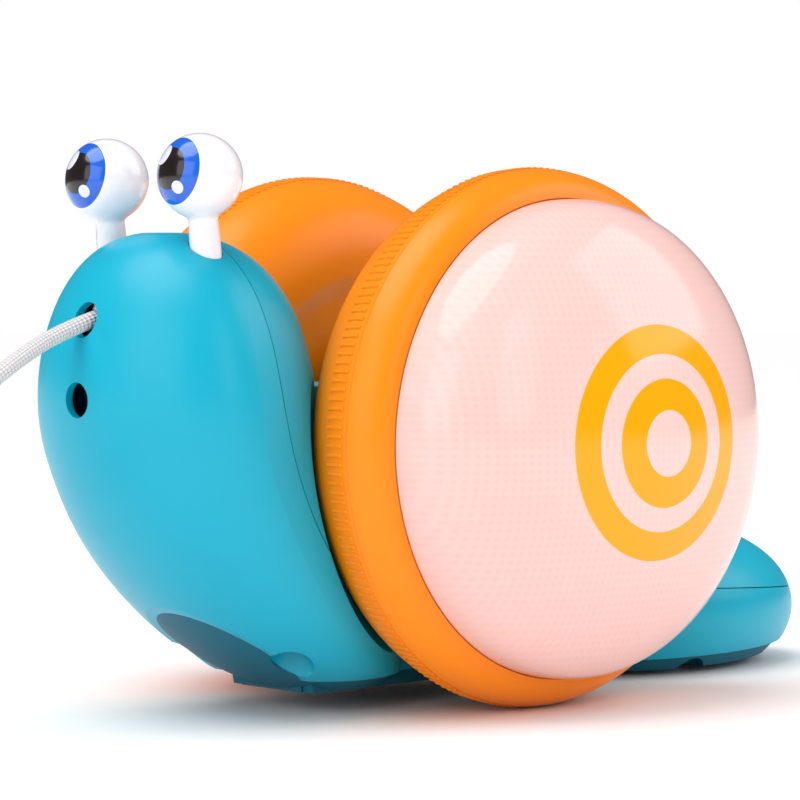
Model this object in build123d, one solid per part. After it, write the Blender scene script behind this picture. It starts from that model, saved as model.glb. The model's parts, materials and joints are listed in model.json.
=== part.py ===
"""Pull-along snail toy: a hollow two-shell body on two big domed wheels, with a pull cord.

+X points forward (the way the snail looks), +Y to its left, +Z up, in millimetres.
The origin is on the floor under the middle of the toy, without its cord.
"""
from build123d import *
import math
import os

os.makedirs("parts", exist_ok=True)

# ---- driving dimensions -------------------------------------------------------------
WHEEL_R = 56.0            # wheel radius, so the axle is this high above the floor
AXLE_X = 10.76            # axle ahead of the middle of the toy's length
WALL = 2.2                # body shell wall
INNER_FACE = 16.0         # mid-plane to the inboard rim of each wheel
DOME_R = 49.1             # radius where dome meets wheel
DOME_SEAT = 43.9          # mid-plane to that seat
DOME_APEX = 71.7          # mid-plane to the tip of the dome
DOME_WALL = 2.0
HUB_TUBE_R = 7.0          # fixed tube that each wheel turns on
RUNNING_FIT = 0.05        # radial clearance of every turning fit
WELL_GAP = 1.2            # air between a wheel and the body
MID_HALF = 13.4           # half thickness of the body between the wheels
HOUSING_R = 20.0          # the round housing that holds the axle tube
SEAM_GAP = 0.2            # fine open line between the two shells
BASE_THICK = 3.0
BASE_INSET = 1.0          # the base plate stands this far inside the shells' edge
SCREW_R = 1.5
SCREW_HEAD_R = 2.8
HOLE_R = 3.5              # cord hole and screw well in the face
WELL_R = 4.4              # screw wells under the chin and tail
EYE_R = 8.4
EYE_OUT = 14.6            # mid-plane to each eye
CORD_D = 3.3
CORD_Z = 24.6             # cord hole above the axle
NOSE_Z = 9.0              # nose screw above the axle
BIG = 130.0

SIDES = {"left": 1, "right": -1}


def place(shape):
    """Moves a shape drawn about the axle's middle to its place in the toy's frame."""
    return Pos(AXLE_X, 0, WHEEL_R) * shape


def save(name, shape):
    shape = place(shape)
    shape.label = name
    export_step(shape, f"parts/{name}.step")
    return shape


# ---- the body's outer form ----------------------------------------------------------
HEAD_TOP = 42.0
HEAD_MID = 1.1
HEAD_LOW = -54.0
HEAD_HALF = 29.8          # half width at the widest level
HEAD_X = 71.6             # widest line of the upper head, ahead of the axle
FRONT_SHARE = 0.735       # the face bulges this much of the half width
BACK_SHARE = 1.06         # and the back of the head this much
LEAN = 0.0093             # how fast the head draws back below the cheeks


def head_section(z, inset):
    """Half width and widest line of the egg-shaped head at height z above the axle."""
    top = z > HEAD_MID
    reach = (HEAD_TOP if top else -HEAD_LOW) - (HEAD_MID if top else -HEAD_MID) - inset
    power = 2.4 if top else 3.3
    share = min(abs(z - HEAD_MID) / reach, 0.9995)
    half = (HEAD_HALF - inset) * (1 - share**power) ** (1 / power)
    return half, HEAD_X - LEAN * max(0.0, 14.0 - z) ** 2


def head_form(inset):
    """Egg that leans back as it goes down, lofted through level sections blunter at the face."""
    steps = 12
    low, top = HEAD_LOW + inset, HEAD_TOP - inset
    sections = []
    for step in range(steps + 1):
        turn = math.pi * (0.03 + 0.94 * step / steps)
        z = (low + top) / 2 - (top - low) / 2 * math.cos(turn)
        half, middle = head_section(z, inset)
        front = EllipticalCenterArc((0, 0), half * FRONT_SHARE, half, start_angle=-90, arc_size=180)
        rear = EllipticalCenterArc((0, 0), half * BACK_SHARE, half, start_angle=90, arc_size=180)
        sections.append(Pos(middle, 0, z) * make_face([front, rear]))
    return loft(sections)


TAIL_X, TAIL_Z = -74.5, -43.0
TAIL_SIZE = (40.0, 27.5, 20.5)


def tail_form(inset):
    """Low rounded tail, an ellipsoid that the base plate cuts flat."""
    return Pos(TAIL_X, 0, TAIL_Z) * scale(Sphere(1), by=tuple(size - inset for size in TAIL_SIZE))


def mid_form(inset):
    """Thin middle between the wheels: a round housing for the axle on a long foot."""
    housing = Circle(HOUSING_R - inset)
    foot = make_face(Polyline(
        (-84, -53), (42, -53), (56, 11 - inset), (15, 11 - inset), (-18, -10 - inset), (-84, -29 - inset),
        close=True))
    outline = Plane.XZ * (housing + foot)
    return extrude(outline, MID_HALF - inset, both=True)


def ring_solid(points_face):
    """Turns a flat section, drawn as radius and distance from the mid-plane, about the axle."""
    return revolve(points_face, Axis.Y)


def wheel_well(side, gap):
    """The space that one wheel sweeps, grown by a gap."""
    edge = 18.5 + gap
    section = make_face([
        CenterArc((37.5, 34.5), edge, 0, -90),
        Line((37.5, 34.5 - edge), (0, 34.5 - edge)),
        Line((0, 34.5 - edge), (0, 80)),
        Line((0, 80), (37.5 + edge, 80)),
        Line((37.5 + edge, 80), (37.5 + edge, 34.5)),
    ])
    well = ring_solid(section)
    return well if side > 0 else mirror(well, Plane.XZ)


def body_form(inset, gap):
    form = head_form(inset) + mid_form(inset) + tail_form(inset)
    for side in SIDES.values():
        form = form - wheel_well(side, gap)
    return form


def side_region(points):
    """A slab across the whole toy with the given outline, seen from the side."""
    return extrude(Plane.XZ * make_face(Polyline(*points, close=True)), 90, both=True)


# The lower edge of the shells: up under the chin, level under the middle, lower under the tail.
RIM = [(90, -21.8), (45.4, -48.7), (-34, -48.7), (-46, -52.1), (-125, -50.4)]


def band(drop_from, drop_to):
    """The region between two copies of the rim line, each moved down."""
    upper = [(x, z - drop_from) for x, z in RIM]
    lower = [(x, z - drop_to) for x, z in reversed(RIM)]
    return side_region(upper + lower)


above_rim = side_region(RIM + [(-125, BIG), (BIG, BIG), (BIG, 2.2)])

# The joint line between the front shell and the back shell.
SEAM = Spline([(69, 44), (66.4, 21), (64.7, 8), (60, -8), (51.5, -22), (41, -30.2), (22, -33.6),
               (-20, -35.0), (-84, -37.5), (-125, -41)])
behind_seam = extrude(Plane.XZ * make_face([
    SEAM,
    Polyline((-125, -41), (-125, BIG), (69, BIG), (69, 44)),
]), 90, both=True)

outer = body_form(0, WELL_GAP)
inner = body_form(WALL, WELL_GAP + WALL)
shell = (outer - inner) & above_rim

tube_hole = Rot(90, 0, 0) * Cylinder(HUB_TUBE_R, 4 * MID_HALF)
cord_hole = Pos(86, 0, CORD_Z) * Rot(0, 90, 0) * Cylinder(HOLE_R, 30)
nose_hole = Pos(86, 0, NOSE_Z) * Rot(0, 90, 0) * Cylinder(HOLE_R, 30)

SCREW_SEATS = [(51.5, 16.5, -38.0), (51.5, -16.5, -38.0), (-66, 18.0, -48.0), (-66, -18.0, -48.0)]
SCREW_LONG = 10.0
BOSS_R = 5.6
BOSS_HIGH = 4.0           # plastic above each screw head's seat


def front_bosses():
    """Wells moulded up from the shell's lower edge, one for each case screw."""
    return [Pos(x, y, -56) * extrude(Circle(BOSS_R), seat + 56 + BOSS_HIGH) for x, y, seat in SCREW_SEATS]


front = shell - behind_seam
back = shell & (Pos(-SEAM_GAP, 0, SEAM_GAP) * behind_seam)
room = body_form(WALL / 2, WELL_GAP + WALL / 2)
for post in front_bosses():
    front = front + ((post & room) & above_rim - behind_seam)
for x, y, seat in SCREW_SEATS:
    front = front - Pos(x, y, -60) * extrude(Circle(WELL_R), seat + 60)
    front = front - Pos(x, y, -60) * extrude(Circle(SCREW_R), seat + 60 + SCREW_LONG + 1)
front = front - cord_hole - nose_hole - tube_hole
back = back - tube_hole

EYE_ROOT = (71.7, 30.5)
EYE_BALL = (73.8, 52.6)


def eye(side):
    """White eyeball on a tapered stalk that plugs into the top of the head."""
    lean = math.degrees(math.atan2(EYE_BALL[0] - EYE_ROOT[0], EYE_BALL[1] - EYE_ROOT[1]))
    length = math.hypot(EYE_BALL[0] - EYE_ROOT[0], EYE_BALL[1] - EYE_ROOT[1])
    stalk = Pos(0, 0, length / 2) * Cone(3.3, 2.7, length)
    stalk = Pos(EYE_ROOT[0], side * EYE_OUT, EYE_ROOT[1]) * Rot(0, lean, 0) * stalk
    return stalk + Pos(EYE_BALL[0], side * EYE_OUT, EYE_BALL[1]) * Sphere(EYE_R)


def eye_socket(side):
    lean = math.degrees(math.atan2(EYE_BALL[0] - EYE_ROOT[0], EYE_BALL[1] - EYE_ROOT[1]))
    return Pos(EYE_ROOT[0], side * EYE_OUT, EYE_ROOT[1]) * Rot(0, lean, 0) * Cylinder(3.3, 36)


for side in SIDES.values():
    front = front - eye_socket(side)
    back = back - eye_socket(side)


def largest(shape):
    """The main solid of a cut, without loose slivers."""
    return max(shape.solids(), key=lambda solid: solid.volume)


front = largest(front)
back = largest(back)
span = front.bounding_box()
print("front shell from", round(span.min.X, 3), "to", round(span.max.X, 3),
      "so the axle belongs at", round(-(span.min.X + span.max.X) / 2, 3))
save("front_shell", front)
save("back_shell", back)

for name, side in SIDES.items():
    save(f"{name}_eye", eye(side))

# ---- base plate, battery door, roller and switch ------------------------------------
DOOR_X, DOOR_LONG, DOOR_WIDE = 44.0, 52.0, 19.0
ROLLER_X, ROLLER_R, ROLLER_WIDE = -68.0, 5.0, 9.0
SWITCH_X, SWITCH_TRAVEL = -90.0, 3.0

base = (body_form(BASE_INSET, WELL_GAP + BASE_INSET) & band(0, BASE_THICK))
door_cut = Pos(20, 0, -52) * Box(DOOR_LONG - 6, DOOR_WIDE, 12)
base = base - door_cut
base = base - Pos(ROLLER_X, 0, -52) * Box(2 * ROLLER_R + 2, ROLLER_WIDE + 1, 12)
base = base - Pos(ROLLER_X, 0, -52) * Box(8.6, 17.6, 12)
base = base - Pos(SWITCH_X, 0, -52) * Box(10, 5, 12)
for x, y, seat in SCREW_SEATS:
    base = base - Pos(x, y, -70) * extrude(Circle(WELL_R), 40)
base = largest(base)
save("base_plate", base)

DOOR_GAP = 0.25
door = Pos(20, 0, -48.7 - BASE_THICK / 2) * Box(DOOR_LONG - 6 - 2 * DOOR_GAP, DOOR_WIDE - 2 * DOOR_GAP, BASE_THICK)
DOOR_SCREW_X = 38.5
door = door - Pos(DOOR_SCREW_X, 0, -60) * extrude(Circle(SCREW_R), 20)
door = door - Pos(DOOR_SCREW_X, 0, -60) * extrude(Circle(SCREW_HEAD_R), 60 - 50.2)
save("battery_door", door)


def screw(length):
    """Pan-head screw, head down, its bearing face at z = 0."""
    shank = Pos(0, 0, length / 2) * Cylinder(SCREW_R, length)
    head = Pos(0, 0, -0.9) * Cylinder(SCREW_HEAD_R, 1.8)
    slot = Pos(0, 0, -1.8) * (Box(3.4, 0.7, 1.2) + Box(0.7, 3.4, 1.2))
    return shank + head - slot


save("battery_door_screw", Pos(DOOR_SCREW_X, 0, -50.2) * (screw(10) & Box(6, 6, 30)))
case_screws = [Pos(x, y, seat) * screw(SCREW_LONG) for x, y, seat in SCREW_SEATS]
save("case_screws", Compound(children=case_screws))

nose_screw = Rot(0, -90, 0) * screw(12)
save("nose_screw", Pos(80, 0, NOSE_Z) * nose_screw)

roller = Rot(90, 0, 0) * (Cylinder(ROLLER_R, ROLLER_WIDE) - Cylinder(1.0 + RUNNING_FIT, ROLLER_WIDE))
save("tail_roller", Pos(ROLLER_X, 0, ROLLER_R - WHEEL_R) * roller)
save("roller_pin", Pos(ROLLER_X, 0, ROLLER_R - WHEEL_R) * Rot(90, 0, 0) * Cylinder(1.0, ROLLER_WIDE + 8))

def cheek(side):
    """Post beside the roller that holds one end of its pin."""
    post = Pos(ROLLER_X, side * (ROLLER_WIDE / 2 + 2.2), -46.5) * Box(8, 2.4, 7.0)
    return post - Pos(ROLLER_X, 0, ROLLER_R - WHEEL_R) * Rot(90, 0, 0) * Cylinder(1.0, 40)


save("roller_cheeks", Compound(children=[cheek(side) for side in SIDES.values()]))

SWITCH_TOP = -49.6
knob = Pos(SWITCH_X - SWITCH_TRAVEL / 2, 0, -52.2) * Box(4.0, 4.0, 4.8)
save("power_switch_knob", knob)
switch_body = Pos(SWITCH_X, 0, SWITCH_TOP + 2.6) * Box(14, 7, 4.6)
save("power_switch_body", switch_body)

# ---- wheels -------------------------------------------------------------------------
DISC_IN, DISC_OUT = 18.2, 20.6      # the wheel's inner disc, measured from the mid-plane
HUB_END = 30.0
CROWN = WHEEL_R - DOME_R            # tread crown above the dome's edge


def wheel_section():
    """Section of the orange wheel moulding, drawn as radius and distance from the mid-plane."""
    rim = 18.5
    wall = 2.4
    seat_r = DOME_R - 2.2
    bore = HUB_TUBE_R + RUNNING_FIT
    return make_face([
        Polyline((bore, DISC_IN), (30.0, DISC_IN), (34.0, INNER_FACE), (37.5, INNER_FACE)),
        CenterArc((37.5, INNER_FACE + rim), rim, -90, 90),
        EllipticalCenterArc((DOME_R, INNER_FACE + rim), CROWN, DOME_SEAT - INNER_FACE - rim,
                            start_angle=0, arc_size=90),
        Polyline((DOME_R, DOME_SEAT), (seat_r, DOME_SEAT), (seat_r, DOME_SEAT - 2.0),
                 (37.5 + rim - wall, INNER_FACE + rim)),
        CenterArc((37.5, INNER_FACE + rim), rim - wall, 0, -90),
        Polyline((37.5, INNER_FACE + wall), (35.0, INNER_FACE + wall), (31.0, DISC_OUT), (10.5, DISC_OUT),
                 (10.5, HUB_END), (bore, HUB_END), (bore, DISC_IN)),
    ])


def dome_height(radius):
    """Bulge of the dome: gentle round the tip, steep at its edge."""
    share = (radius / DOME_R) ** 1.44
    return DOME_SEAT + (DOME_APEX - DOME_SEAT) * (1 - share) ** (1 / 2.75)


def dome_section():
    radii = [0, 10, 20, 30, 38, 44, 47.2, DOME_R]
    outside = [(radius, dome_height(radius)) for radius in radii]
    thin = 1 - DOME_WALL / DOME_R
    inside = [(r * thin, DOME_SEAT + (y - DOME_SEAT) * (1 - DOME_WALL / (DOME_APEX - DOME_SEAT)))
              for r, y in outside]
    top = Spline(outside, tangents=[(1, 0), (0, -1)])
    under = Spline(inside, tangents=[(1, 0), (0, -1)])
    return make_face([top, Line(outside[-1], inside[-1]), under, Line(inside[0], outside[0])])


def on_side(side, shape):
    return shape if side > 0 else mirror(shape, Plane.XZ)


TUBE_END = HUB_END + 0.4
wheel = ring_solid(wheel_section())
dome = ring_solid(dome_section())


def disc(radius, start, end, hole=0.0):
    """Round plate or ring about the axle between two distances from the mid-plane."""
    return ring_solid(make_face(Polyline((hole, start), (radius, start), (radius, end), (hole, end), close=True)))


def light_board():
    """Round board at the end of the tube with four small lamps."""
    board = disc(9.0, TUBE_END + 2.0, TUBE_END + 3.6)
    for turn in range(4):
        lamp = Pos(0, TUBE_END + 3.6, 0) * Rot(0, 90 * turn, 0) * Pos(5.5, 0, 0) * Rot(-90, 0, 0)
        board = board + lamp * extrude(Circle(1.5), 3.0)
    return board


for name, side in SIDES.items():
    save(f"{name}_wheel", on_side(side, wheel))
    save(f"{name}_dome", on_side(side, dome))
    save(f"{name}_retainer", on_side(side, disc(10.5, TUBE_END, TUBE_END + 2.0)))
    save(f"{name}_light_board", on_side(side, light_board()))

tube = Rot(90, 0, 0) * (Cylinder(HUB_TUBE_R, 2 * TUBE_END) - Cylinder(5.0, 2 * TUBE_END))
save("axle_tube", tube)

# ---- inside the body ----------------------------------------------------------------
CELL_R, CELL_LONG = 5.2, 44.5
CELL_Z, CELL_Y = -25.0, 5.3
CELL_MID = 20.0
cells = []
for side in SIDES.values():
    cell = Cylinder(CELL_R, CELL_LONG - 1.0) + Pos(0, 0, side * (CELL_LONG / 2)) * Cylinder(1.8, 1.0)
    cells.append(Pos(CELL_MID, side * CELL_Y, CELL_Z) * Rot(0, 90, 0) * cell)
save("batteries", Compound(children=cells))

CRADLE_LONG = CELL_LONG + 8
cradle = Pos(CELL_MID, 0, CELL_Z - CELL_R - 1.0) * Box(CRADLE_LONG, 21.4, 1.6)
for side in SIDES.values():
    end_wall = Pos(CELL_MID + side * (CRADLE_LONG / 2 - 0.8), 0, CELL_Z - 0.5) * Box(1.6, 21.4, 11.0)
    cradle = cradle + end_wall
save("battery_cradle", cradle)

contacts = []
for end in SIDES.values():
    for side in SIDES.values():
        plate_x = CELL_MID + end * (CRADLE_LONG / 2 - 1.6 - 0.3)
        contact = Pos(plate_x, side * CELL_Y, CELL_Z) * Box(0.6, 8.0, 8.0)
        contact = contact + Pos(plate_x - end * 0.85, side * CELL_Y, CELL_Z) * Box(1.3, 3.0, 3.0)
        contacts.append(contact)
save("battery_contacts", Compound(children=contacts))

board = Pos(-78, 0, -40.0) * Box(30, 22, 1.6)
for x, y, long, wide, high in [(-84, 3, 8, 6, 1.6), (-72, -5, 5, 4, 1.4), (-74, 6, 4, 4, 3.0)]:
    board = board + Pos(x, y, -39.2 + high / 2) * Box(long, wide, high)
save("circuit_board", board)

speaker = Cylinder(13.0, 4.0) + Pos(0, 0, 3.5) * Cylinder(6.0, 3.0)
save("speaker", Pos(60, 0, 11) * Rot(0, 90, 0) * speaker)

# ---- pull cord: anchor knot, hanging run, coil and bead -----------------------------
KNOT_AT = (83.4, 0, 25.7)
KNOT_R = 4.4         # larger than the cord hole, so the cord can't pull through
FLOOR = -WHEEL_R
CORD_ROUTE = [
    (87.0, 0, 25.2), (96.0, 0, 22.6), (106, 0, 17.8), (117.5, -0.5, 10.0), (126, -1.5, -1.0),
    (132, -3.5, -14.0), (136.5, -6.0, -28.0), (142, -9.0, -41.0), (151, -12.5, -50.5),
    (163, -15.5, FLOOR + 1.9), (176, -17.0, FLOOR + 1.7),
]
COIL_R = 19.0
COIL_MID = (184.0, -38.0)
COIL_HALF = 3.6
BEAD_R = 9.0
BEAD_AT = (148.0, -58.0)
END_KNOT_R = 3.2


def corner_radii(route):
    """Largest arc that each corner of the route allows."""
    radii = []
    for before, here, after in zip(route, route[1:], route[2:]):
        first = Vector(*here) - Vector(*before)
        second = Vector(*after) - Vector(*here)
        turn = math.radians(first.get_angle(second))
        radii.append(0.45 * min(first.length, second.length) / math.tan(turn / 2))
    return radii


radii = corner_radii(CORD_ROUTE)
print("cord corner radii", [round(radius, 1) for radius in radii])
path = FilletPolyline(*CORD_ROUTE, radius=radii)
start_plane = Plane(origin=CORD_ROUTE[0], z_dir=path % 0)
cord = sweep(start_plane * Circle(CORD_D / 2), path=path)
print("cord tube length", round(path.length, 1), "volume", round(cord.volume, 1),
      "expected", round(path.length * math.pi * CORD_D**2 / 4, 1))
coil = Pos(COIL_MID[0], COIL_MID[1], FLOOR + COIL_HALF)
coil = coil * (Cylinder(COIL_R + COIL_HALF, 2 * COIL_HALF) - Cylinder(COIL_R - COIL_HALF, 2 * COIL_HALF))
cord = cord - coil
save("cord", cord)
save("cord_coil", coil)
knot = Pos(*KNOT_AT) * Sphere(KNOT_R)
save("cord_knot", knot - cord)
bead_mid = Pos(BEAD_AT[0], BEAD_AT[1], FLOOR + BEAD_R)
bead = bead_mid * (Sphere(BEAD_R) - Rot(0, 90, 0) * Cylinder(CORD_D / 2 + 0.2, 2 * BEAD_R))
save("pull_bead", bead)
save("cord_end_knot", bead_mid * Pos(-BEAD_R - END_KNOT_R + 0.1, 0, 0) * Sphere(END_KNOT_R))
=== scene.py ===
# %% [markdown]
# A pull-along snail toy: a hollow teal ABS body, two big orange wheels with milky domes for its shell,
# eyes on stalks and a braided cord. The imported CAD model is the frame: it gives every place and size, and
# the visible skins are made here around it.

# %% Load the frame
import json
import math
import bmesh
import bpy
from mathutils import Matrix, Vector


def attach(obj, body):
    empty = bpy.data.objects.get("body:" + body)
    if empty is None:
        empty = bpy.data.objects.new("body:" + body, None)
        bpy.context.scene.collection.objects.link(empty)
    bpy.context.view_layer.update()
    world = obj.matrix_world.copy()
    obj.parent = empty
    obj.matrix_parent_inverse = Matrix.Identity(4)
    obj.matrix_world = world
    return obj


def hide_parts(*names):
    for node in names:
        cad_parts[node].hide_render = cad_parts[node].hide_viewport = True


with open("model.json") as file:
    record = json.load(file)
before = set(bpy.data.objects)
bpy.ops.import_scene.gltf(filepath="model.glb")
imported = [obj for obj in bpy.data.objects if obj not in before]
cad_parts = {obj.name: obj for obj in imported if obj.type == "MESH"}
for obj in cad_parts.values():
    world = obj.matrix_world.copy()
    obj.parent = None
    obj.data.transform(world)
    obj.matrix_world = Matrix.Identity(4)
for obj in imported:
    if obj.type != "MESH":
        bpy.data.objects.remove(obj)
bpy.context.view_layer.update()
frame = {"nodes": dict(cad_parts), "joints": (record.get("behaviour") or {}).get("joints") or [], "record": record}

MM = 0.001
nodes = frame["nodes"]
joint_at = {joint["name"]: joint.get("pos_m") for joint in frame["joints"]}
AXLE = Vector(joint_at["left_wheel_spin"])
WHEEL_R = AXLE.z
print("axle at", AXLE, "wheel radius", WHEEL_R)

# %% [markdown]
# The camera comes first. A long lens of 135 mm stands about twelve wheel radii away, ahead of the toy and
# to its left, a little above the axle, so the toy shows its face and one dome with almost no perspective.

# %% Camera
AZIMUTH = math.radians(46.3)
ELEVATION = math.radians(1.9)
towards = Vector((math.cos(ELEVATION) * math.cos(AZIMUTH), math.cos(ELEVATION) * math.sin(AZIMUTH),
                  math.sin(ELEVATION)))
sideways = (-towards).cross(Vector((0, 0, 1))).normalized()
upwards = sideways.cross(-towards)
DISTANCE = 11.56 * WHEEL_R
ASIDE = -0.0771 * WHEEL_R
ABOVE = 0.1237 * WHEEL_R
spot = AXLE + towards * DISTANCE + sideways * ASIDE + upwards * ABOVE
camera_data = bpy.data.cameras.new("camera")
camera_data.lens = 135
camera_data.sensor_width = 36
camera_data.clip_end = 20
camera = bpy.data.objects.new("camera", camera_data)
bpy.context.scene.collection.objects.link(camera)
turn = Matrix((sideways, upwards, towards)).transposed().to_4x4()
camera.matrix_world = Matrix.Translation(spot) @ turn
bpy.context.scene.camera = camera
print("camera at", spot)

# %% [markdown]
# Every finish is procedural. Colours are written as the hex values a paint chart would give, and one
# function turns them to linear light. One more function adds a node with its settings and links.


# %% Colour and node helpers
def linear(code):
    """An sRGB hex colour as a linear RGBA value."""
    channels = [int(code[i:i + 2], 16) / 255 for i in (0, 2, 4)]
    return [c / 12.92 if c <= 0.04045 else ((c + 0.055) / 1.055) ** 2.4 for c in channels] + [1.0]


def add(material, kind, settings=None, **links):
    """Adds a node, sets its properties, and fills its inputs with values or with other nodes' outputs."""
    node = material.node_tree.nodes.new(kind)
    for name, value in (settings or {}).items():
        setattr(node, name, value)
    for name, value in links.items():
        key = int(name[1:]) if name[0] == "i" and name[1:].isdigit() else name.replace("_", " ")
        if isinstance(value, bpy.types.NodeSocket):
            material.node_tree.links.new(value, node.inputs[key])
        else:
            node.inputs[key].default_value = value
    return node


def new_material(name, rough=0.35, coat=0.0, metal=0.0, ior=1.5):
    """A material with one Principled shader, and that shader."""
    material = bpy.data.materials.new(name)
    material.use_nodes = True
    shader = material.node_tree.nodes["Principled BSDF"]
    shader.inputs["Roughness"].default_value = rough
    shader.inputs["Coat Weight"].default_value = coat
    shader.inputs["Coat Roughness"].default_value = 0.06
    shader.inputs["Metallic"].default_value = metal
    shader.inputs["IOR"].default_value = ior
    return material, shader


def wire(material, output, socket):
    material.node_tree.links.new(output, socket)


# %% [markdown]
# Moulded ABS is one colour right through, with a faint cloudiness where the melt cooled unevenly and a
# fine spark texture from the mould. The cloudiness is noise a few centimetres across, the texture a noise
# of about half a millimetre that only moves the bump.


# %% Moulded plastic
def moulded(name, light, dark, rough, grain_mm=0.5, grain=0.04, coat=0.0, ior=1.5):
    material, shader = new_material(name, rough, coat, ior=ior)
    place = add(material, "ShaderNodeTexCoord").outputs["Object"]
    cloud = add(material, "ShaderNodeTexNoise", Vector=place, Scale=1 / (25 * MM), Detail=3.0)
    tint = add(material, "ShaderNodeMix", {"data_type": "RGBA"}, i0=cloud.outputs["Fac"],
               i6=linear(light), i7=linear(dark))
    wire(material, tint.outputs[2], shader.inputs["Base Color"])
    texture = add(material, "ShaderNodeTexNoise", Vector=place, Scale=1 / (grain_mm * MM), Detail=2.0)
    bump = add(material, "ShaderNodeBump", Strength=grain, Distance=0.1 * MM, Height=texture.outputs["Fac"])
    wire(material, bump.outputs["Normal"], shader.inputs["Normal"])
    gloss = add(material, "ShaderNodeMapRange", Value=cloud.outputs["Fac"], To_Min=rough - 0.04,
                To_Max=rough + 0.05)
    wire(material, gloss.outputs["Result"], shader.inputs["Roughness"])
    return material


teal = moulded("moulded teal ABS", "00AFCB", "00A6C3", 0.34, ior=1.42)
# The base plate is the same teal ABS as the shell. This darker copy paints the shade that falls on the toy's
# underside.
teal_with_painted_underside_shade = moulded("moulded teal ABS darkened for painted underside shade", "00687F", "005E74", 0.5, ior=1.38)
orange = moulded("moulded orange ABS", "FF9000", "FF8600", 0.34, ior=1.38)
black = moulded("moulded black ABS", "16171A", "1F2023", 0.4)
natural = moulded("moulded natural nylon", "E2E0D8", "D5D3CB", 0.45)
board_green = moulded("coated glass-epoxy board", "1E6B3C", "175830", 0.3, 1.2, 0.1)
print("plastics made")

# %% [markdown]
# The small hardware is zinc-plated steel. Plating follows the rolled wire under it, so its roughness
# varies in short streaks rather than in clouds.

# %% Steel and cell wrap
steel, shader = new_material("zinc-plated steel", 0.3, metal=1.0)
place = add(steel, "ShaderNodeTexCoord").outputs["Object"]
streak = add(steel, "ShaderNodeTexNoise", Vector=place, Scale=1 / (0.8 * MM), Detail=4.0)
shade = add(steel, "ShaderNodeMix", {"data_type": "RGBA"}, i0=streak.outputs["Fac"], i6=linear("C9CBCF"),
            i7=linear("A9ACB2"))
wire(steel, shade.outputs[2], shader.inputs["Base Color"])
spread = add(steel, "ShaderNodeMapRange", Value=streak.outputs["Fac"], To_Min=0.2, To_Max=0.4)
wire(steel, spread.outputs["Result"], shader.inputs["Roughness"])
cell_wrap = moulded("shrunk cell wrap", "3B5B49", "33503F", 0.3)

# %% [markdown]
# Each dome is glossy milky polystyrene. A lattice of small dots moulded inside shows faintly through
# it, about 1.6 mm apart, and a yellow target of two rings is printed round the axle. Distance from the
# axle picks the print, so the rings stay round from every side.

# %% Dome finish
RING_EDGES_MM = (6.5, 12.8, 17.6, 23.6)
DOT_PITCH_MM = 1.6
RAMP_MM = 50.0
dome_finish, shader = new_material("milky polystyrene with printed target", 0.14, ior=1.42)
shader.inputs["Subsurface Weight"].default_value = 0.1
shader.inputs["Subsurface Radius"].default_value = (1.0, 0.6, 0.5)
shader.inputs["Subsurface Scale"].default_value = 3 * MM
place = add(dome_finish, "ShaderNodeTexCoord").outputs["Object"]
flat = add(dome_finish, "ShaderNodeMapping", Vector=place, Location=(-AXLE.x, 0, -AXLE.z), Scale=(1, 0, 1))
reach = add(dome_finish, "ShaderNodeVectorMath", {"operation": "LENGTH"}, i0=flat.outputs["Vector"])
share = add(dome_finish, "ShaderNodeMath", {"operation": "MULTIPLY"}, i0=reach.outputs["Value"],
            i1=1 / (RAMP_MM * MM))
rings = add(dome_finish, "ShaderNodeValToRGB", Fac=share.outputs["Value"])
rings.color_ramp.interpolation = "CONSTANT"
rings.color_ramp.elements[0].color = (0, 0, 0, 1)
rings.color_ramp.elements[1].position = RING_EDGES_MM[0] / RAMP_MM
rings.color_ramp.elements[1].color = (1, 1, 1, 1)
for number, edge in enumerate(RING_EDGES_MM[1:]):
    stop = rings.color_ramp.elements.new(edge / RAMP_MM)
    stop.color = (0, 0, 0, 1) if number % 2 == 0 else (1, 1, 1, 1)
upright = add(dome_finish, "ShaderNodeMapping", Vector=place, Rotation=(math.radians(90), 0, 0))
dots = add(dome_finish, "ShaderNodeTexVoronoi", {"voronoi_dimensions": "2D"}, Vector=upright.outputs["Vector"],
           Scale=1 / (DOT_PITCH_MM * MM), Randomness=0.0)
dot_edge = add(dome_finish, "ShaderNodeMapRange", Value=dots.outputs["Distance"], From_Min=0.18, From_Max=0.42)
milk = add(dome_finish, "ShaderNodeMix", {"data_type": "RGBA"}, i0=dot_edge.outputs["Result"],
           i6=linear("F4C8C1"), i7=linear("F6D1CB"))
fade = add(dome_finish, "ShaderNodeValToRGB", Fac=share.outputs["Value"])
fade.color_ramp.elements[0].color = linear("F6CFC9")
fade.color_ramp.elements[1].color = linear("F3BCB5")
fade.color_ramp.elements[0].position = 0.2
fade.color_ramp.elements[1].position = 0.97
milky = add(dome_finish, "ShaderNodeMix", {"data_type": "RGBA", "blend_type": "MIX"}, i0=0.5,
            i6=milk.outputs[2], i7=fade.outputs["Color"])
printed = add(dome_finish, "ShaderNodeMix", {"data_type": "RGBA"}, i0=rings.outputs["Color"],
              i6=milky.outputs[2], i7=linear("FCAC00"))
wire(dome_finish, printed.outputs[2], shader.inputs["Base Color"])
print("dome rings at", RING_EDGES_MM, "mm")

# %% [markdown]
# The eyes are white ABS with a pad-printed iris, pupil and two white lights. Each print is a round cap on
# the ball, so the angle between a point's direction from the ball's middle and the way that cap faces
# decides the colour.

# %% Eye finish
EYE_R = 8.4 * MM


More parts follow.
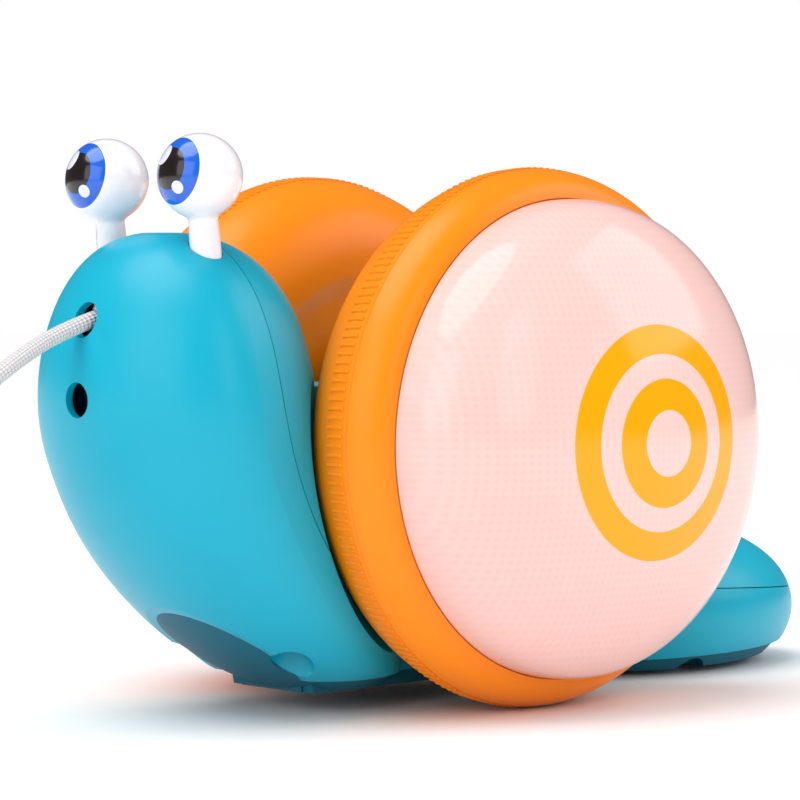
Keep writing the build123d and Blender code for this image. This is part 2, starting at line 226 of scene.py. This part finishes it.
def eye_finish(name, middle):
    material, shader = new_material(name, 0.18, coat=0.5)
    place = add(material, "ShaderNodeTexCoord").outputs["Object"]
    out = add(material, "ShaderNodeMapping", Vector=place, Location=tuple(-c for c in middle))
    unit = add(material, "ShaderNodeVectorMath", {"operation": "NORMALIZE"}, i0=out.outputs["Vector"])
    far = add(material, "ShaderNodeVectorMath", {"operation": "LENGTH"}, i0=out.outputs["Vector"])
    on_ball = add(material, "ShaderNodeMath", {"operation": "GREATER_THAN"}, i0=far.outputs["Value"],
                  i1=0.97 * EYE_R)
    colour = None
    # each print: across and up angles in degrees, radius in degrees, colour
    prints = [(-3, 9, 52, "0F62D6"), (-2, 10, 30, "1D1512"), (-19, 29, 15, "E4E2F2"), (17, -17, 9, "E4E2F2")]
    base = linear("F6F3F9")
    for across, up, size, code in prints:
        a, u = math.radians(across), math.radians(up)
        facing = (math.cos(u) * math.cos(a), math.cos(u) * math.sin(a), math.sin(u))
        near = add(material, "ShaderNodeVectorMath", {"operation": "DOT_PRODUCT"}, i0=unit.outputs["Vector"],
                   i1=facing)
        inside = add(material, "ShaderNodeMath", {"operation": "GREATER_THAN"}, i0=near.outputs["Value"],
                     i1=math.cos(math.radians(size)))
        both = add(material, "ShaderNodeMath", {"operation": "MULTIPLY"}, i0=inside.outputs["Value"],
                   i1=on_ball.outputs["Value"])
        mixed = add(material, "ShaderNodeMix", {"data_type": "RGBA"}, i0=both.outputs["Value"],
                    i6=base if colour is None else colour, i7=linear(code))
        colour = mixed.outputs[2]
    wire(material, colour, shader.inputs["Base Color"])
    return material


# %% [markdown]
# The cord is braided polyester. The weave runs as two sets of yarns that cross, so its height is the
# product of two waves that wind opposite ways round the cord. Its colour is painted darker where that
# height is low, as shade in the grooves between the yarns.

# %% Cord finish
cord_finish, shader = new_material("braided polyester", 0.75)
shader.inputs["Sheen Weight"].default_value = 0.3
place = add(cord_finish, "ShaderNodeTexCoord").outputs["UV"]
split = add(cord_finish, "ShaderNodeSeparateXYZ", Vector=place)
YARNS_ROUND = 8


def yarn_wave(along, around):
    """Height of one set of yarns: a sine of a slanted mix of the two cord directions."""
    first = add(cord_finish, "ShaderNodeMath", {"operation": "MULTIPLY"}, i0=split.outputs["X"], i1=along)
    second = add(cord_finish, "ShaderNodeMath", {"operation": "MULTIPLY"}, i0=split.outputs["Y"], i1=around)
    total = add(cord_finish, "ShaderNodeMath", {"operation": "ADD"}, i0=first.outputs["Value"],
                i1=second.outputs["Value"])
    return add(cord_finish, "ShaderNodeMath", {"operation": "SINE"}, i0=total.outputs["Value"])


# %% [markdown]
# The cord's route is the CAD tube's, point for point, and then three and a half turns of a put-away coil. A NURBS
# curve bends through these points as a limp cord does. It ends in the pull bead, held by its end knot.

# %% Cord route
CORD_D = 3.3 * MM
FLOOR_MM = -56.0
route_mm = [
    (87.0, 0, 25.2), (96.0, 0, 22.6), (106, 0, 17.8), (117.5, -0.5, 10.0), (126, -1.5, -1.0),
    (132, -3.5, -14.0), (136.5, -6.0, -28.0), (142, -9.0, -41.0), (151, -12.5, -50.5),
    (163, -15.5, FLOOR_MM + 1.9), (176, -17.0, FLOOR_MM + 1.7),
]
COIL_MID_MM = (184.0, -38.0)
LAPS = 3.5
TURN_POINTS = 14
coil_turns = [(20.8, 1.7), (17.3, 1.7), (17.3, 5.1), (20.8, 5.1)]
for step in range(1, int(LAPS * TURN_POINTS) + 1):
    lap = step / TURN_POINTS
    first = int(lap)
    after = min(first + 1, len(coil_turns) - 1)
    ease = max(0.0, (lap - first) * 3 - 2)
    size = coil_turns[first][0] * (1 - ease) + coil_turns[after][0] * ease
    high = coil_turns[first][1] * (1 - ease) + coil_turns[after][1] * ease
    angle = math.pi / 2 - 2 * math.pi * step / TURN_POINTS
    route_mm.append((COIL_MID_MM[0] + size * math.cos(angle), COIL_MID_MM[1] + size * math.sin(angle),
                     FLOOR_MM + high))
route_mm += [(175, -59.2, FLOOR_MM + 4.6), (167, -58.6, FLOOR_MM + 5.4), (159, -58.0, FLOOR_MM + 8.4),
             (150, -58.0, FLOOR_MM + 9.0), (136.5, -58.0, FLOOR_MM + 9.0)]
route = [AXLE + Vector(point) * MM for point in route_mm]


def curve_through(name, points, radius):
    data = bpy.data.curves.new(name, "CURVE")
    data.dimensions = "3D"
    data.bevel_depth = radius
    data.bevel_resolution = 5
    data.resolution_u = 8
    line = data.splines.new("NURBS")
    line.points.add(len(points) - 1)
    for control, point in zip(line.points, points):
        control.co = (*point, 1)
    line.order_u = 3
    line.use_endpoint_u = True
    return bpy.data.objects.new(name, data)


bare = curve_through("cord_line", route, 0.0)
bpy.context.scene.collection.objects.link(bare)
depsgraph = bpy.context.evaluated_depsgraph_get()
line_mesh = bpy.data.meshes.new_from_object(bare.evaluated_get(depsgraph))
cord_line = [vertex.co.copy() for vertex in line_mesh.vertices]
cord_length = sum((b - a).length for a, b in zip(cord_line, cord_line[1:]))
bpy.data.objects.remove(bare)
print("cord length", round(cord_length, 4), "m in", len(cord_line), "steps")

# %% [markdown]
# The tube follows that line. It is a curve with a bevel turned into a mesh, which keeps the bevel's UV map,
# so the braid can wind round it.

# %% Cord
solid = curve_through("cord_solid", route, CORD_D / 2)
bpy.context.scene.collection.objects.link(solid)
depsgraph = bpy.context.evaluated_depsgraph_get()
cord_mesh = bpy.data.meshes.new_from_object(solid.evaluated_get(depsgraph))
bpy.data.objects.remove(solid)
print("cord mesh", len(cord_mesh.polygons), "faces, UV maps", [uv.name for uv in cord_mesh.uv_layers])
for face in cord_mesh.polygons:
    face.use_smooth = True
braid = bpy.data.objects.new("braided_cord", cord_mesh)
bpy.context.scene.collection.objects.link(braid)
laps = cord_length / (9 * MM)
left_lay = yarn_wave(2 * math.pi * laps * YARNS_ROUND, 2 * math.pi * YARNS_ROUND)
right_lay = yarn_wave(2 * math.pi * laps * YARNS_ROUND, -2 * math.pi * YARNS_ROUND)
weave = add(cord_finish, "ShaderNodeMath", {"operation": "MULTIPLY"}, i0=left_lay.outputs["Value"],
            i1=right_lay.outputs["Value"])
bump = add(cord_finish, "ShaderNodeBump", Strength=0.8, Distance=0.25 * MM, Height=weave.outputs["Value"])
wire(cord_finish, bump.outputs["Normal"], shader.inputs["Normal"])
# The colour follows the weave height: darker where the yarns dip, which is painted shade in the braid's grooves.
braid_groove_shade = add(cord_finish, "ShaderNodeMapRange", Value=weave.outputs["Value"], From_Min=-1.0, From_Max=1.0)
braid_colour_with_painted_shade = add(cord_finish, "ShaderNodeMix", {"data_type": "RGBA"}, i0=braid_groove_shade.outputs["Result"],
           i6=linear("CFC8CB"), i7=linear("FBF8F8"))
wire(cord_finish, braid_colour_with_painted_shade.outputs[2], shader.inputs["Base Color"])
cord_mesh.materials.clear()
cord_mesh.materials.append(cord_finish)
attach(braid, "body")
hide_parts("cord", "cord_coil")

# %% [markdown]
# A wheel is one orange moulding, turned here by spinning its section round the axle: a flat disc, a soft
# inboard lip, the tread and a rounded shoulder up to the dome's seat. Spin makes the shape exactly round,
# and the mirror image gives the other wheel.


# %% Turned parts
def arc(middle, across, along, start, end, count):
    """Points on a quarter or part of an ellipse, as radius and distance from the mid-plane."""
    return [(middle[0] + across * math.cos(math.radians(start + (end - start) * i / count)),
             middle[1] + along * math.sin(math.radians(start + (end - start) * i / count)))
            for i in range(count + 1)]


def turned(name, section_mm, side, finish, closed=True, steps=256):
    """Spins a section about the axle. side is 1 for the left wheel and -1 for the right one."""
    shape = bmesh.new()
    ring = [shape.verts.new(AXLE + Vector((r, side * y, 0)) * MM) for r, y in section_mm]
    edges = [shape.edges.new(pair) for pair in zip(ring, ring[1:])]
    if closed:
        edges.append(shape.edges.new((ring[-1], ring[0])))
    bmesh.ops.spin(shape, geom=ring + edges, cent=AXLE, axis=(0, 1, 0), angle=2 * math.pi, steps=steps,
                   use_merge=True)
    bmesh.ops.remove_doubles(shape, verts=shape.verts, dist=0.002 * MM)
    bmesh.ops.recalc_face_normals(shape, faces=shape.faces)
    return finished(name, shape, finish)


def finished(name, shape, finish, sharp=35):
    mesh = bpy.data.meshes.new(name)
    shape.to_mesh(mesh)
    shape.free()
    for face in mesh.polygons:
        face.use_smooth = True
    mesh.set_sharp_from_angle(angle=math.radians(sharp))
    mesh.materials.append(finish)
    piece = bpy.data.objects.new(name, mesh)
    bpy.context.scene.collection.objects.link(piece)
    print(name, len(mesh.polygons), "faces")
    return piece


RIM = 18.5                 # radius of the soft inboard rounding
CROWN_Y = 34.5             # mid-plane to the tread's crown
LIP_R, LIP_Y = 37.5, 16.0
SEAT_R, SEAT_Y = 49.1, 43.9
WHEEL_WALL = 2.4
GROOVE_Y, GROOVE_DEEP, GROOVE_WIDE = 36.6, 0.35, 0.4
BAR_RISE = 0.4             # the bars run on the floor, so the tread lies this much below them
TREAD_R = LIP_R + RIM - BAR_RISE
outside = [(7.05, 18.2), (29.0, 18.2), (30.2, 18.0), (33.2, 16.3), (34.4, 16.0)]
outside += arc((LIP_R, CROWN_Y), RIM - BAR_RISE, RIM, -90, 0, 30)
outside += [(TREAD_R - 0.02, GROOVE_Y - GROOVE_WIDE), (TREAD_R - GROOVE_DEEP, GROOVE_Y),
            (TREAD_R - 0.04, GROOVE_Y + GROOVE_WIDE)]
outside += arc((SEAT_R - 0.1, CROWN_Y), TREAD_R + 0.3 - SEAT_R, SEAT_Y - CROWN_Y, 20, 78, 16)
outside += [(SEAT_R + 0.3, SEAT_Y + 0.05), (SEAT_R, SEAT_Y - 0.3)]
within = [(46.2, SEAT_Y - 0.3), (46.2, 41.2)]
within += arc((LIP_R, CROWN_Y), RIM - WHEEL_WALL, RIM - WHEEL_WALL, 0, -90, 16)
within += [(35.0, LIP_Y + WHEEL_WALL), (31.0, 20.6), (10.5, 20.6), (10.5, 30.0), (7.05, 30.0)]

# %% [markdown]
# The tread carries a narrow band of short raised bars. One bar is a bevelled block that follows the
# tread's slope, and spin with copies sets the rest round the wheel, a little under two millimetres apart.

# %% Tread bars
BARS = 190
BAR_Y, BAR_LONG, BAR_WIDE, BAR_HIGH = 33.2, 4.6, 0.85, 0.5
slope = math.atan2(CROWN_Y - BAR_Y, math.sqrt(RIM**2 - (CROWN_Y - BAR_Y)**2))
bar_r = LIP_R - BAR_RISE + math.sqrt(RIM**2 - (CROWN_Y - BAR_Y)**2)


def tread_bars(name, side):
    shape = bmesh.new()
    made = bmesh.ops.create_cube(shape, size=1.0)["verts"]
    bmesh.ops.scale(shape, vec=Vector((BAR_HIGH, BAR_LONG, BAR_WIDE)) * MM, verts=made)
    bmesh.ops.bevel(shape, geom=shape.edges[:], offset=0.22 * MM, segments=1, affect="EDGES", profile=0.5,
                    material=-1)
    bmesh.ops.rotate(shape, cent=(0, 0, 0), matrix=Matrix.Rotation(-side * slope, 3, "Z"), verts=shape.verts)
    bmesh.ops.translate(shape, vec=AXLE + Vector((bar_r, side * BAR_Y, 0)) * MM, verts=shape.verts)
    bmesh.ops.spin(shape, geom=shape.verts[:] + shape.edges[:] + shape.faces[:], cent=AXLE, axis=(0, 1, 0),
                   angle=2 * math.pi * (BARS - 1) / BARS, steps=BARS - 1, use_duplicate=True)
    return finished(name, shape, orange)


DOME_APEX = 71.7


def dome_height(radius):
    """The dome's bulge, gentle round the tip and steep at its edge."""
    return SEAT_Y + (DOME_APEX - SEAT_Y) * max(0.0, 1 - (radius / SEAT_R) ** 1.44) ** (1 / 2.75)


dome_outside = [(SEAT_R * math.sin(math.pi / 2 * i / 48), dome_height(SEAT_R * math.sin(math.pi / 2 * i / 48)))
                for i in range(49)]
THIN = 1 - 2.0 / SEAT_R
dome_within = [(r * THIN, SEAT_Y + (y - SEAT_Y) * 0.93) for r, y in reversed(dome_outside)]
for name, side in (("left", 1), ("right", -1)):
    body = f"{name}_wheel_body"
    wheel = turned(f"{name}_wheel_skin", outside + within, side, orange)
    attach(wheel, body)
    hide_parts(f"{name}_wheel")
    bars = tread_bars(f"{name}_tread_bars", side)
    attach(bars, body)
    dome = turned(f"{name}_dome_skin", dome_outside + dome_within, side, dome_finish, closed=False)
    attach(dome, body)
    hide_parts(f"{name}_dome")

# %% [markdown]
# An eye is a ball that runs into its stalk in a small soft fillet. Its section is spun about the stalk's
# own line, which leans five degrees forward, and the printed finish is set on the ball's middle.

# %% Eyes
EYE_OUT = 14.6
EYE_ROOT, EYE_BALL = (71.7, 30.5), (73.8, 52.6)
for name, side in (("left", 1), ("right", -1)):
    root = AXLE + Vector((EYE_ROOT[0], side * EYE_OUT, EYE_ROOT[1])) * MM
    middle = AXLE + Vector((EYE_BALL[0], side * EYE_OUT, EYE_BALL[1])) * MM
    along = (middle - root).normalized()
    across = along.cross(Vector((0, 1, 0))).normalized()
    ball = arc((0, 0), EYE_R / MM, EYE_R / MM, -64, 90, 40)
    section = [(0.0, -(middle - root).length / MM), (3.3, -(middle - root).length / MM), (3.0, -10.0),
               (2.9, -8.6), (3.1, -8.0)] + ball
    shape = bmesh.new()
    ring = [shape.verts.new(middle + across * (r * MM) + along * (h * MM)) for r, h in section]
    edges = [shape.edges.new(pair) for pair in zip(ring, ring[1:])]
    bmesh.ops.spin(shape, geom=ring + edges, cent=middle, axis=along, angle=2 * math.pi, steps=96,
                   use_merge=True)
    bmesh.ops.remove_doubles(shape, verts=shape.verts, dist=0.002 * MM)
    bmesh.ops.recalc_face_normals(shape, faces=shape.faces)
    eye = finished(f"{name}_eye_skin", shape, eye_finish(f"{name} printed eye ABS", middle), sharp=60)
    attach(eye, "body")
    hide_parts(f"{name}_eye")

# %% [markdown]
# The other CAD nodes already have their real shape, so each only gets the finish of its own material. The base
# plate gets the darker teal, which paints the shade under the toy.

# %% Finishes of the CAD nodes
finishes = {
    # base_teal gets the teal darkened as painted underside shade.
    "teal_shell": teal, "base_teal": teal_with_painted_underside_shade, "orange_wheel": orange, "dome": dome_finish,
    "eye_white": natural, "steel": steel, "white_plastic": natural, "black_plastic": black,
    "circuit_green": board_green, "cell_label": cell_wrap, "cord_white": cord_finish,
}
for subpart in frame["record"]["subparts"]:
    mesh = nodes[subpart["node"]].data
    mesh.materials.clear()
    mesh.materials.append(finishes.get(subpart["material_slot"], orange))
print(len(nodes), "CAD nodes finished")

# %% [markdown]
# The stage is a plain white floor in a bright, even room. A wide soft sun lights the floor evenly, and three
# soft panels in front, to the side and behind give the gloss its broad reflections.

# %% Floor and lights
floor_shape = bmesh.new()
bmesh.ops.create_grid(floor_shape, x_segments=1, y_segments=1, size=6.0)
floor_finish, shader = new_material("matt white card", 0.9)
place = add(floor_finish, "ShaderNodeTexCoord").outputs["Object"]
fibre = add(floor_finish, "ShaderNodeTexNoise", Vector=place, Scale=400.0)
card = add(floor_finish, "ShaderNodeMix", {"data_type": "RGBA"}, i0=fibre.outputs["Fac"], i6=linear("F6F6F6"),
           i7=linear("FAFAFA"))
wire(floor_finish, card.outputs[2], shader.inputs["Base Color"])
floor = finished("floor", floor_shape, floor_finish)

world = bpy.data.worlds.new("bright room")
bpy.context.scene.world = world
world.use_nodes = True
room = world.node_tree.nodes["Background"]
room.inputs["Color"].default_value = (1, 1, 1, 1)
ROOM_LEVEL, GLOSS_LEVEL, BACKDROP_LEVEL = 0.58, 0.10, 1.0
path = add(world, "ShaderNodeLightPath")
indirect = add(world, "ShaderNodeMapRange", Value=path.outputs["Is Glossy Ray"], To_Min=ROOM_LEVEL,
               To_Max=GLOSS_LEVEL)
level = add(world, "ShaderNodeMapRange", Value=path.outputs["Is Camera Ray"], To_Min=indirect.outputs["Result"],
            To_Max=BACKDROP_LEVEL)
wire(world, level.outputs["Result"], room.inputs["Strength"])
bpy.context.scene.view_settings.view_transform = "Standard"

sun_data = bpy.data.lights.new("wide soft sun", "SUN")
sun_data.energy = 1.9
sun_data.angle = math.radians(50)
sun = bpy.data.objects.new("wide soft sun", sun_data)
sun.rotation_euler = Vector((0.35, -0.12, 0.9)).to_track_quat("Z", "Y").to_euler()
bpy.context.scene.collection.objects.link(sun)


def soft_light(name, spot, size, watts):
    data = bpy.data.lights.new(name, "AREA")
    data.shape = "RECTANGLE"
    data.size, data.size_y = size
    data.energy = watts
    light = bpy.data.objects.new(name, data)
    place = Vector(spot)
    facing = (AXLE - place).to_track_quat("-Z", "Y")
    light.matrix_world = Matrix.Translation(place) @ facing.to_matrix().to_4x4()
    bpy.context.scene.collection.objects.link(light)


soft_light("front soft light", (0.95, 0.15, 0.40), (0.8, 0.6), 2.2)
soft_light("side soft light", (0.15, 1.0, 0.45), (0.3, 0.7), 1.0)
soft_light("rear soft light", (-0.75, 0.55, 0.65), (0.7, 0.7), 3.0)
